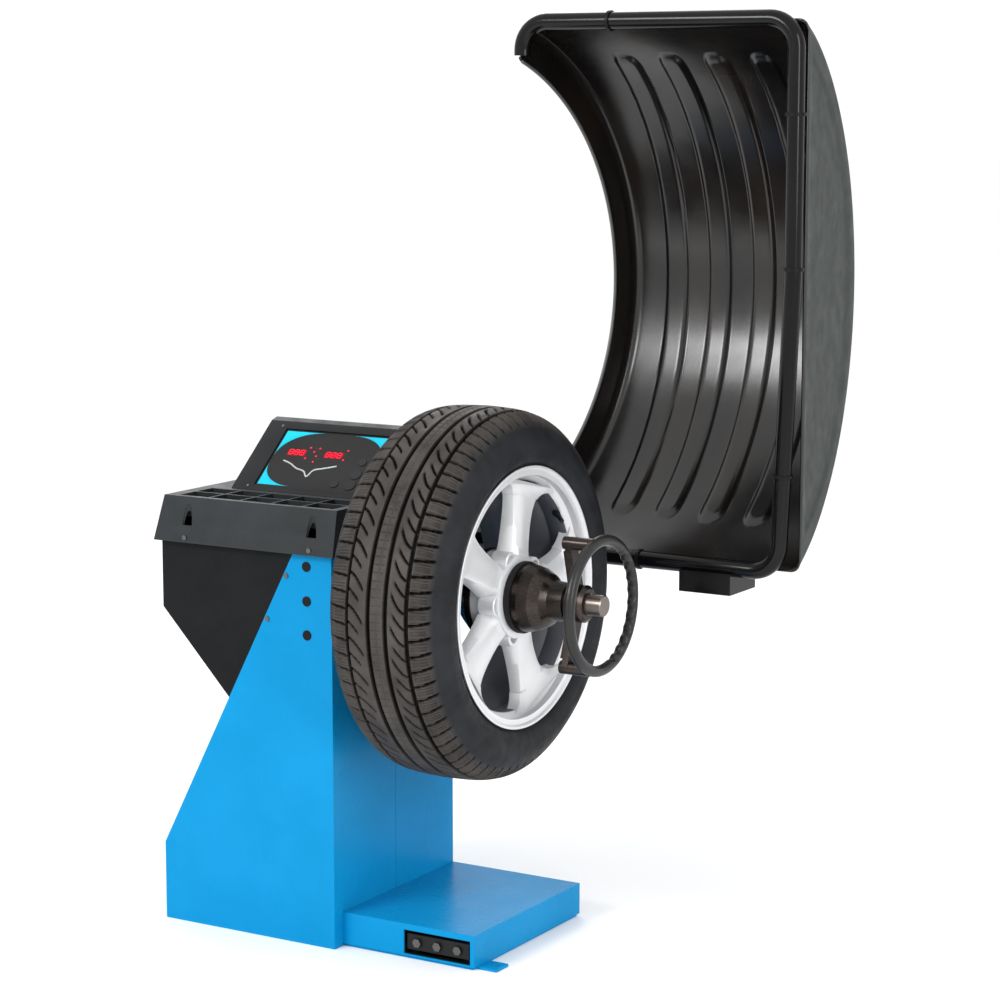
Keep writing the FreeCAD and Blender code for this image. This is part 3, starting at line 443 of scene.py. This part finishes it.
def tyre():
    half = smooth_line(TYRE_SIDE, 8)
    crown = [(-x, r) for x, r in half] + [(x, r) for x, r in reversed(half[:-1])]
    crown = np.array(crown)
    runs = np.hypot(*np.diff(crown, axis=0).T)
    place = np.concatenate([[0], np.cumsum(runs)])
    place -= place[-1] / 2
    stops = set(np.arange(-0.114, 0.1141, 0.0024).round(5))
    for centre, width in GROOVES:
        stops |= {round(centre + side * (width - inset), 5) for side in (-1, 1) for inset in (0, 0.001)}
    shoulders = [np.linspace(place[0], -0.116, 16), np.linspace(0.116, place[-1], 16)]
    stops |= set(np.concatenate(shoulders).round(5))
    across = np.array(sorted(stops))
    x = np.interp(across, place, crown[:, 0])
    r = np.interp(across, place, crown[:, 1])
    tangent = np.stack([np.gradient(x), np.gradient(r)])
    tangent /= np.hypot(*tangent)
    normal = np.stack([-tangent[1], tangent[0]])
    around = PITCHES * SAMPLES
    angles = np.arange(around) * 2 * math.pi / around
    grid_across, grid_angle = np.meshgrid(across, angles)
    cut = tread_depth(grid_across, grid_angle * TYRE_R)
    ridge = 0.0007 * np.exp(-((np.abs(grid_across) - 0.150) / 0.0012) ** 2)
    ridge += 0.0005 * np.exp(-((np.abs(grid_across) - 0.128) / 0.0010) ** 2)
    shift = ridge - cut
    xs = WHEEL_X + x + normal[0] * shift
    rs = r + normal[1] * shift
    ys = rs * np.cos(grid_angle)
    zs = SHAFT_Z + rs * np.sin(grid_angle)
    columns = len(across)
    verts = np.stack([xs, ys, zs], -1).reshape(-1, 3)
    back = [(0.106, 0.217), (0.097, 0.217), (0.100, 0.240), (0.106, 0.270), (0.092, 0.298), (0.074, 0.312),
            (0.0, 0.318)]
    inside = back + [(-px, pr) for px, pr in reversed(back[:-1])]
    coarse = []
    for a in angles:
        coarse += [(WHEEL_X + px, pr * math.cos(a), SHAFT_Z + pr * math.sin(a)) for px, pr in inside]
    rows = [list(range(i * columns, (i + 1) * columns)) for i in range(around)]
    offset = len(verts)
    inner_count = len(inside)
    loops = [rows[i] + list(range(offset + i * inner_count, offset + (i + 1) * inner_count))
             for i in range(around)]
    faces = []
    for i in range(around):
        one, two = loops[i], loops[(i + 1) % around]
        for j in range(len(one)):
            k = (j + 1) % len(one)
            faces.append((one[j], one[k], two[k], two[j]))
    made = add_mesh("tyre_tread", np.concatenate([verts, np.array(coarse)]), faces, ["tyre"], "spindle")
    tint_tread(made)
    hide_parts("tyre")
    made.data.set_sharp_from_angle(angle=math.radians(38))


def tint_tread(made):
    """Vertex attributes: how much a point belongs to the crown, painted paler for scuffed rubber and a
    painted highlight, and how deep in a groove it is, which sets the painted shade in the grooves.
    """
    count = len(made.data.vertices)
    co = np.zeros(count * 3)
    made.data.vertices.foreach_get("co", co)
    co = co.reshape(-1, 3)
    x = np.abs(co[:, 0] - WHEEL_X)
    r = np.hypot(co[:, 1], co[:, 2] - SHAFT_Z)
    line = sorted(TYRE_SIDE)
    outer = np.interp(x, [p[0] for p in line], [p[1] for p in line])
    crown = np.clip((r - 0.300) / 0.014, 0, 1) * np.clip((0.112 - x) / 0.01, 0, 1)
    # Depth below the tread surface; the material paints shade in proportion to it.
    groove_shade = np.where(x < 0.099, np.clip((outer - r - 0.0012) / 0.0030, 0, 1), 0)
    for name, values in (("crown", crown), ("groove_shade", groove_shade)):
        made.data.attributes.new(name, "FLOAT", "POINT").data.foreach_set("value", values.astype(np.float32))


# ---- rim --------------------------------------------------------------------------------
WINDOW_ANGLE = 40.0
SPOKES = 5
LUG_R = 0.057


def rim():
    f = 0.112
    lip = [(f - 0.004, 0.2335), (f - 0.001, 0.2338), (f, 0.2325), (f, 0.2300), (f - 0.002, 0.2280),
           (f - 0.010, 0.2245), (f - 0.018, 0.2180), (f - 0.024, 0.2100), (f - 0.028, 0.2065)]
    well = [(0.052, 0.2055), (0.045, 0.2085), (0.012, 0.1835), (-0.054, 0.1855), (-0.070, 0.2090),
            (-f + 0.006, 0.2100), (-f + 0.001, 0.2270), (-f, 0.2300), (-f + 0.0005, 0.2335),
            (-f + 0.0045, 0.2335), (-f + 0.0055, 0.2320), (-f + 0.0055, 0.2168), (-0.066, 0.2168),
            (-0.050, 0.1922), (0.010, 0.1902),
            (0.045, 0.2168), (f - 0.0055, 0.2168), (f - 0.0055, 0.2320)]
    outline = [(WHEEL_X + x, r) for x, r in lip + well]
    barrel = turned("rim_barrel", outline, ["wheel_silver", "barrel_painted_shade"], "spindle", 192)
    # Faces deep inside the barrel take the painted-shade grey; the rest stays silver.
    for face in barrel.data.polygons:
        centre = face.center
        radius = math.hypot(centre.y, centre.z - SHAFT_Z)
        face.material_index = 1 if centre.x < WHEEL_X + 0.080 and radius < 0.216 else 0
    barrel.data.set_sharp_from_angle(angle=math.radians(50))
    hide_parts("rim")

    # each station: radius, half width of the crest, half width of the foot, front x, depth
    stations = [(0.050, 0.015, 0.030, 0.2610, 0.040), (0.072, 0.017, 0.037, 0.2600, 0.038),
                (0.090, 0.018, 0.035, 0.2565, 0.034), (0.125, 0.020, 0.035, 0.2530, 0.030),
                (0.160, 0.024, 0.040, 0.2515, 0.027), (0.182, 0.030, 0.049, 0.2525, 0.026),
                (0.196, 0.038, 0.060, 0.2560, 0.027), (0.205, 0.049, 0.073, 0.2600, 0.028),
                (0.2115, 0.062, 0.086, 0.2640, 0.030)]
    verts, faces = [], []
    section = ((-1.0, 0.0), (-0.97, 0.30), (-0.55, 0.80), (-0.28, 1.0), (0.28, 1.0), (0.55, 0.80),
               (0.97, 0.30), (1.0, 0.0))
    fine = smooth_line(stations, 4)
    for n in range(SPOKES):
        a = math.radians(WINDOW_ANGLE + 180 / SPOKES + 360 / SPOKES * n)
        start = len(verts)
        for radius, crest, foot, front, depth in fine:
            for share, height in section:
                reach = foot if abs(share) > 0.6 else crest * 1.45
                across = reach * share if abs(share) > 0.6 else crest * (share / 0.28 if abs(share) < 0.3 else
                                                                         math.copysign(1.45, share))
                across = max(-foot, min(foot, across))
                x = front - depth * (1 - height) * 0.95
                lean = math.sqrt(max(radius ** 2 - across ** 2, 0.0001)) if radius > 0.18 else radius
                y = lean * math.cos(a) - across * math.sin(a)
                z = SHAFT_Z + lean * math.sin(a) + across * math.cos(a)
                verts.append((x, y, z))
        faces += grid_faces(len(fine), len(section), False, True, start)
        faces.append(tuple(range(start, start + len(section))))
        faces.append(tuple(range(len(verts) - len(section), len(verts))))
    spokes = add_mesh("rim_spokes", verts, faces, ["wheel_silver"], "spindle")
    soften(spokes, 0.0022, 3)
    spokes.data.set_sharp_from_angle(angle=math.radians(60))
    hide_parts("rim")

    hub = [(0.2075, 0.0390), (0.2640, 0.0390), (0.2640, 0.0700), (0.2625, 0.0735), (0.2560, 0.0760),
           (0.2300, 0.0800), (0.2075, 0.0800)]
    centre = turned("rim_hub", hub, ["wheel_silver"], "spindle", 120)
    centre.data.set_sharp_from_angle(angle=math.radians(35))
    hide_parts("rim")
    bosses_v, bosses_f = [], []
    for n in range(SPOKES):
        a = math.radians(WINDOW_ANGLE + 360 / SPOKES * n)
        ring = [(0.230, 0.0190), (0.2595, 0.0175), (0.2610, 0.0160), (0.2610, 0.0125), (0.2420, 0.0110),
                (0.2420, 0.0060), (0.230, 0.0060)]
        start = len(bosses_v)
        for k in range(40):
            b = 2 * math.pi * k / 40
            for x, r in ring:
                bosses_v.append((x, (LUG_R + 0.014) * math.cos(a) + r * math.cos(b),
                                 SHAFT_Z + (LUG_R + 0.014) * math.sin(a) + r * math.sin(b)))
        bosses_f += grid_faces(40, len(ring), True, True, start)
    bosses = add_mesh("rim_lug_seats", bosses_v, bosses_f, ["wheel_silver"], "spindle")
    bosses.data.set_sharp_from_angle(angle=math.radians(35))
    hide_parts("rim")


# ---- hood -------------------------------------------------------------------------------
RIB_WIDTH, RIB_RISE = 0.046, 0.0065
RIB_STARTS = (0.160, 0.255, 0.350, 0.445)
RIB_REACH, RIB_CORNER = 0.440, 0.018
WALL_STEP = 0.0035            # the outer part of the right wall stands out by this much
HOOD_SKIN, HOOD_BEND = 0.0036, 0.020
BEAD_R = 0.0032


def smoothstep(value):
    value = min(1.0, max(0.0, value))
    return value * value * (3 - 2 * value)


def hood():
    """One sheet from the left lip over the ribbed back to the right wall, then given thickness."""
    end = math.acos((HOOD_Y - HOOD_CY) / HOOD_R)
    slope = HOOD_DRAFT / HOOD_DEPTH
    verts = []
    rows = 161
    bend = HOOD_BEND
    lip_steps, bend_steps, back_steps, wall_steps = 9, 7, 133, 22
    for i in range(rows):
        a = -end + 2 * end * i / (rows - 1)
        line = []

        def put(x, radius):
            y = HOOD_CY + radius * math.cos(a)
            z = HOOD_CZ + radius * math.sin(a)
            line.append((x, max(y, HOOD_Y), z))

        def left_x(radius):
            return HOOD_LEFT + slope * (max(HOOD_CY + radius * math.cos(a), HOOD_Y) - HOOD_Y)

        reach_y = HOOD_CY + HOOD_R * math.cos(a)
        left = left_x(HOOD_R)
        right = HOOD_RIGHT - slope * (reach_y - HOOD_Y)
        put(left_x(HOOD_R - HOOD_LIP), HOOD_R - HOOD_LIP)
        for k in range(lip_steps):
            radius = HOOD_R - HOOD_LIP + 0.004 + (HOOD_LIP - bend - 0.004) * k / (lip_steps - 1)
            put(left_x(radius) + 0.0015, radius)
        for k in range(1, bend_steps):
            b = math.pi / 2 * k / bend_steps
            put(left + bend * (1 - math.cos(b)), HOOD_R - bend * (1 - math.sin(b)))
        for k in range(back_steps):
            x = left + bend + (right - left - 2 * bend) * k / (back_steps - 1)
            rise = 0.0
            for start in RIB_STARTS:
                across = min(x - start, start + RIB_WIDTH - x)
                along = RIB_REACH - abs(HOOD_R * math.sin(a))
                edge = min(across, along)
                if along < RIB_CORNER:
                    edge = RIB_CORNER - math.hypot(max(0.0, RIB_CORNER - across), RIB_CORNER - along)
                rise = max(rise, RIB_RISE * smoothstep((min(edge, across) + 0.002) / 0.008))
            put(x, HOOD_R - rise)
        for k in range(1, bend_steps):
            b = math.pi / 2 * (1 - k / bend_steps)
            put(right - bend * (1 - math.cos(b)), HOOD_R - bend * (1 - math.sin(b)))
        edge_y = HOOD_CY + (HOOD_R - bend) * math.cos(a)
        z = HOOD_CZ + (HOOD_R - bend) * math.sin(a)
        for k in range(wall_steps):
            share = k / (wall_steps - 1)
            y = max(edge_y, HOOD_Y) * (1 - share) + HOOD_Y * share
            inward = HOOD_R - math.hypot(y - HOOD_CY, z - HOOD_CZ)
            step = WALL_STEP * smoothstep((inward - 0.050) / 0.010)
            x = HOOD_RIGHT - slope * (y - HOOD_Y) - step * smoothstep((y - HOOD_Y - 0.015) / 0.02)
            line.append((x, y, z))
        verts += line
    columns = len(verts) // rows
    shell = add_mesh("hood_skin", verts, grid_faces(rows, columns), ["hood_plastic", "hood_outer"], "hood")
    centre = Vector((0.32, HOOD_CY + 0.2, HOOD_CZ))
    flips = sum(1 if face.normal.dot(centre - face.center) > 0 else -1 for face in shell.data.polygons)
    if flips < 0:
        shell.data.flip_normals()
    thick = shell.modifiers.new("skin", "SOLIDIFY")
    thick.thickness = HOOD_SKIN
    thick.offset = 1.0
    thick.use_even_offset = False
    thick.material_offset = 1
    thick.material_offset_rim = 0
    shell.data.set_sharp_from_angle(angle=math.radians(50))
    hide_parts("hood_shell")

    edge = []
    for i in range(121):
        a = -end * 0.97 + 2 * end * 0.97 * i / 120
        radius = HOOD_R - HOOD_LIP
        y = max(HOOD_CY + radius * math.cos(a), HOOD_Y + 0.002)
        edge.append((HOOD_LEFT + slope * (y - HOOD_Y) + 0.003, y, HOOD_CZ + radius * math.sin(a)))
    verts, faces = tube(edge, BEAD_R, 10)
    bead = add_mesh("hood_lip_bead", verts, faces, ["hood_bead"], "hood")


# ---- handwheel --------------------------------------------------------------------------
def handwheel():
    """Round grip ring; part of its inner side is scalloped for the fingers."""
    verts = []
    steps, sides = 288, 20
    for i in range(steps):
        a = 2 * math.pi * i / steps
        turn = (math.degrees(a) + 180) % 360 - 180
        fade = smoothstep((70 - abs(turn + 10)) / 12)
        wave = 0.5 + 0.5 * math.cos(math.radians(turn * 360 / 11.5))
        for k in range(sides):
            b = 2 * math.pi * k / sides
            inward = max(0.0, -math.cos(b))
            section = GRIP_R - SCALLOP * fade * wave * inward
            radius = RING_R + section * math.cos(b)
            verts.append((RING_X + section * math.sin(b), radius * math.cos(a),
                          SHAFT_Z + radius * math.sin(a)))
    ring = add_mesh("grip_ring", verts, grid_faces(steps, sides, True, True), ["cast_grey"], "nut")
    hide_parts("handwheel_ring")


# ---- display ----------------------------------------------------------------------------
FACE_LOW = Vector((0, -0.080, 0.7955))
FACE_HIGH = Vector((0, 0.050, 0.908))
FACE_UP = (FACE_HIGH - FACE_LOW).normalized()
FACE_OUT = Vector((0, -FACE_UP.z, FACE_UP.y))
FACE_LEN = (FACE_HIGH - FACE_LOW).length
FILM = (-0.264, -0.030, 0.014, FACE_LEN - 0.018)      # left, right, low, high on the sloping face
FILM_OUT = -0.0025
# bars of one digit: across and up from its middle, and whether the bar lies flat
DIGIT_BARS = ((0, 0.0058, True), (0, 0, True), (0, -0.0058, True), (-0.0042, 0.0029, False),
              (0.0042, 0.0029, False), (-0.0042, -0.0029, False), (0.0042, -0.0029, False))
DIGIT_PITCH = 0.0125
LAMP_R = 0.0018


def on_face(x, up, out):
    return FACE_LOW + FACE_UP * up + FACE_OUT * out + Vector((x, 0, 0))


def plate(outline, low, high):
    """A flat plate on the display's face from 2-D corners."""
    count = len(outline)
    verts = [on_face(x, up, low) for x, up in outline] + [on_face(x, up, high) for x, up in outline]
    faces = [tuple(range(count)), tuple(range(count, 2 * count))]
    faces += [(i, (i + 1) % count, count + (i + 1) % count, count + i) for i in range(count)]
    return verts, faces


def merged(parts):
    verts, faces = [], []
    for v, f in parts:
        faces += [tuple(k + len(verts) for k in face) for face in f]
        verts += v
    return verts, faces


def display():
    left, right, low, high = FILM

    def corner(x_side, up_side, reach_x, reach_up):
        """A film patch in one corner, bounded by a stretch of the oval."""
        x0 = left + 0.004 if x_side < 0 else right - 0.004
        up0 = low + 0.004 if up_side < 0 else high - 0.004
        arc = []
        for k in range(13):
            b = math.pi / 2 * k / 12
            arc.append((x0 - x_side * reach_x * (1 - math.sin(b)),
                        up0 - up_side * reach_up * (1 - math.cos(b))))
        return [(x0, up0)] + arc

    patches = [corner(-1, 1, 0.085, 0.060), corner(-1, -1, 0.070, 0.050), corner(1, 1, 0.075, 0.045)]
    verts, faces = merged([plate(p, FILM_OUT, FILM_OUT + 0.0003) for p in patches])
    film = add_mesh("display_corner_film", verts, faces, ["cyan_film"], "cabinet", False)

    segments = []
    for x, up in ((-0.214, 0.100), (-0.132, 0.100)):
        for n in range(3):
            cx = x + (n - 1) * DIGIT_PITCH
            for dx, dup, wide in DIGIT_BARS:
                w, h = (0.0034, 0.0009) if wide else (0.0009, 0.0023)
                box = [(cx + dx - w, up + dup - h), (cx + dx + w, up + dup - h), (cx + dx + w, up + dup + h),
                       (cx + dx - w, up + dup + h)]
                segments.append(plate(box, -0.0027, -0.0018))
    for cx, cup in ((-0.189, 0.113), (-0.189, 0.087), (-0.177, 0.104), (-0.168, 0.113), (-0.168, 0.094),
                    (-0.168, 0.080), (-0.106, 0.113), (-0.106, 0.090)):
        dot = [(cx + LAMP_R * math.cos(math.pi / 4 * k), cup + LAMP_R * math.sin(math.pi / 4 * k))
               for k in range(8)]
        segments.append(plate(dot, -0.0027, -0.0018))
    verts, faces = merged(segments)
    digits = add_mesh("display_digits", verts, faces, ["red_lamp"], "cabinet", False)

    line = smooth_line([(-0.232, 0.078), (-0.214, 0.072), (-0.196, 0.062), (-0.176, 0.056), (-0.164, 0.044),
                        (-0.156, 0.060), (-0.138, 0.066), (-0.112, 0.074)], 5)
    verts, faces = tube([on_face(x, up, FILM_OUT + 0.0002) for x, up in line], 0.0016, 8)
    mark = add_mesh("display_rim_mark", verts, faces, ["pale_print"], "cabinet")

    rivets = []
    for x in (left - 0.012, right + 0.012):
        for up in (low - 0.004, high + 0.006):
            if 0.004 < up < FACE_LEN - 0.004:
                ring = []
                for r, out in ((0.0001, 0.0016), (0.0016, 0.0013), (0.0030, 0.0004), (0.0032, -0.0004)):
                    ring.append([on_face(x + r * math.cos(b), up + r * math.sin(b), out)
                                 for b in [2 * math.pi * k / 16 for k in range(16)]])
                v = [p for row in ring for p in row]
                rivets.append((v, grid_faces(4, 16, False, True) + [tuple(range(48, 64))]))
    verts, faces = merged(rivets)
    pins = add_mesh("display_rivets", verts, faces, ["zinc"], "cabinet")


# ---- stage ------------------------------------------------------------------------------
def area_light(name, place, aim, size, power, colour=(1, 1, 1)):
    data = bpy.data.lights.new(name, "AREA")
    data.shape = "RECTANGLE"
    data.size, data.size_y = size
    data.energy = power
    data.color = colour
    lamp_object = bpy.data.objects.new(name, data)
    lamp_object.location = place
    lamp_object.rotation_euler = (Vector(aim) - Vector(place)).to_track_quat("-Z", "Y").to_euler()
    bpy.context.scene.collection.objects.link(lamp_object)


def stage():
    mesh = bpy.data.meshes.new("floor")
    reach = 60.0
    corners = [(-reach, -reach, 0), (reach, -reach, 0), (reach, reach, 0), (-reach, reach, 0)]
    mesh.from_pydata(corners, [], [(0, 1, 2, 3)])
    floor = bpy.data.objects.new("floor", mesh)
    bpy.context.scene.collection.objects.link(floor)
    pale = Mat("studio_floor", (0.94, 0.94, 0.94), 0.75)
    pale.colour(pale.ramp(pale.noise(0.7, 2.0), (0.3, (0.935, 0.935, 0.935)), (0.7, (0.95, 0.95, 0.95))))
    mesh.materials.append(pale.mat)

    world = bpy.data.worlds.new("studio")
    bpy.context.scene.world = world
    world.use_nodes = True
    sky = world.node_tree.nodes["Background"]
    sky.inputs["Color"].default_value = (1.0, 1.0, 1.0, 1)
    sky.inputs["Strength"].default_value = 1.06

    area_light("key", (-1.3, -3.6, 3.0), (0.2, 0.2, 0.9), (1.6, 1.3), 105)
    area_light("side", (4.2, -1.8, 2.4), (0.2, 0.1, 0.9), (1.0, 2.6), 72)
    area_light("back", (-2.4, 3.2, 3.2), (0.2, 0.4, 1.0), (2.0, 2.0), 35)


def camera():
    data = bpy.data.cameras.new("photo_view")
    data.lens = 97.71
    data.sensor_width = 36.0
    data.clip_end = 60.0
    view = bpy.data.objects.new("photo_view", data)
    heading = math.radians(31.05)
    pitch = math.radians(8.61)
    view.location = (2.6655, -4.0599, 1.5213)
    view.rotation_euler = (math.radians(90) - pitch, 0, heading)
    bpy.context.scene.collection.objects.link(view)
    bpy.context.scene.camera = view


finish_frame_nodes()
tyre()
rim()
hood()
handwheel()
display()
stage()
camera()
bpy.context.scene.view_settings.view_transform = "Standard"

bpy.context.view_layer.update()
